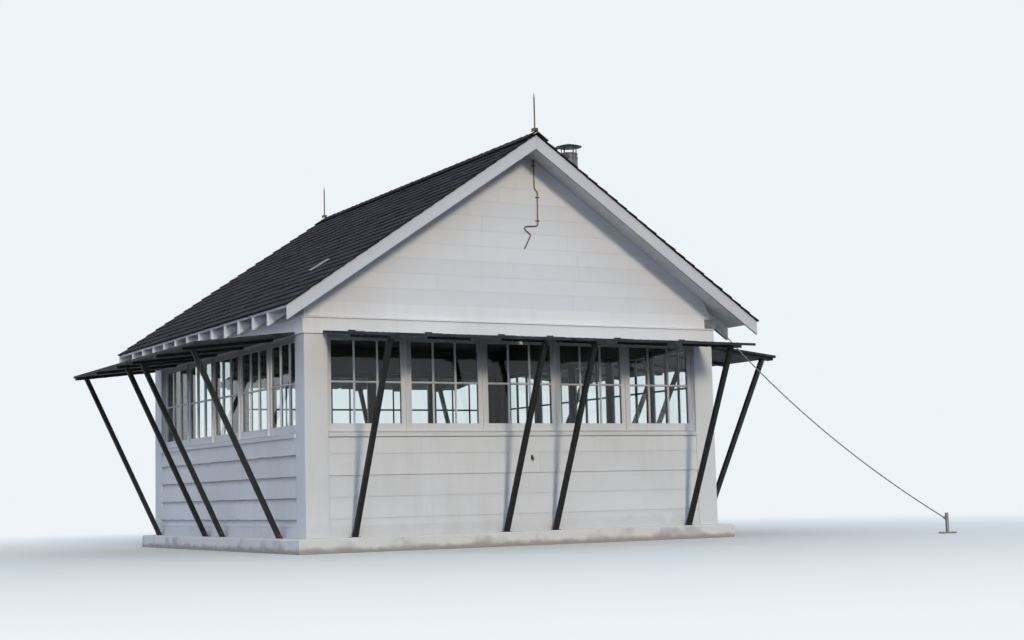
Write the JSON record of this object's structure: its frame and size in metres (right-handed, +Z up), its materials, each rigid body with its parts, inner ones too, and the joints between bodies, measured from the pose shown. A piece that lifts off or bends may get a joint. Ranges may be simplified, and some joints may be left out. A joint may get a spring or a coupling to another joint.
{
  "type": "ground-level fire lookout cabin",
  "caption": "Square one-room timber lookout cab with a window band on every side, propped-open shutters, a shingled gable roof, a stovepipe, lightning rods and a guy cable.",
  "frame": {"origin": "middle of the foundation's underside, on the ground", "axes": "+Z up, +X to the right of the front wall as seen from outside, +Y from the front wall to the rear"},
  "size_m": [6.8244, 6.8244, 4.1099],
  "materials": {
    "bare_timber": "bare sawn timber, grey with age",
    "brass": "dull brass",
    "clear_glass": "clear window glass",
    "concrete": "limewashed concrete",
    "copper": "dull copper",
    "dark_stain": "dark stained boards",
    "floor_boards": "worn floor boards",
    "galvanised_wire": "galvanised wire rope and fittings",
    "sheet_steel": "sooty galvanised steel sheet",
    "weathered_shingle": "dark weathered wood shingles",
    "white_paint": "matt weathered white paint on boards"
  },
  "bodies": {
    "root": {"barge_boards": "white_paint", "ceiling": "bare_timber", "corner_posts": "white_paint", "door": "white_paint", "door_frame": "white_paint", "door_knobs": "brass", "floor_deck": "floor_boards", "foundation": "concrete", "front_gable": "white_paint", "front_header": "white_paint", "front_props": "dark_stain", "front_sashes": "white_paint", "front_shutters": "dark_stain", "front_wall": "white_paint", "front_window_frame": "white_paint", "glass": "clear_glass", "guy_anchor": "galvanised_wire", "guy_bracket": "galvanised_wire", "guy_cable": "galvanised_wire", "left_header": "white_paint", "left_props": "dark_stain", "left_rafters": "white_paint", "left_roof_deck": "white_paint", "left_sashes": "white_paint", "left_shingles": "weathered_shingle", "left_shutters": "dark_stain", "left_wall": "white_paint", "left_window_frame": "white_paint", "lightning_conductor": "copper", "lightning_rods": "copper", "pipe_cap": "sheet_steel", "pipe_flashing": "sheet_steel", "rear_gable": "white_paint", "rear_header": "white_paint", "rear_props": "dark_stain", "rear_sashes": "white_paint", "rear_shutters": "dark_stain", "rear_wall": "white_paint", "rear_window_frame": "white_paint", "ridge_board": "bare_timber", "ridge_cap": "weathered_shingle", "right_header": "white_paint", "right_props": "dark_stain", "right_rafters": "white_paint", "right_roof_deck": "white_paint", "right_sashes": "white_paint", "right_shingles": "weathered_shingle", "right_shutters": "dark_stain", "right_wall": "white_paint", "right_window_frame": "white_paint", "stovepipe": "sheet_steel"}
  },
  "joints": []
}
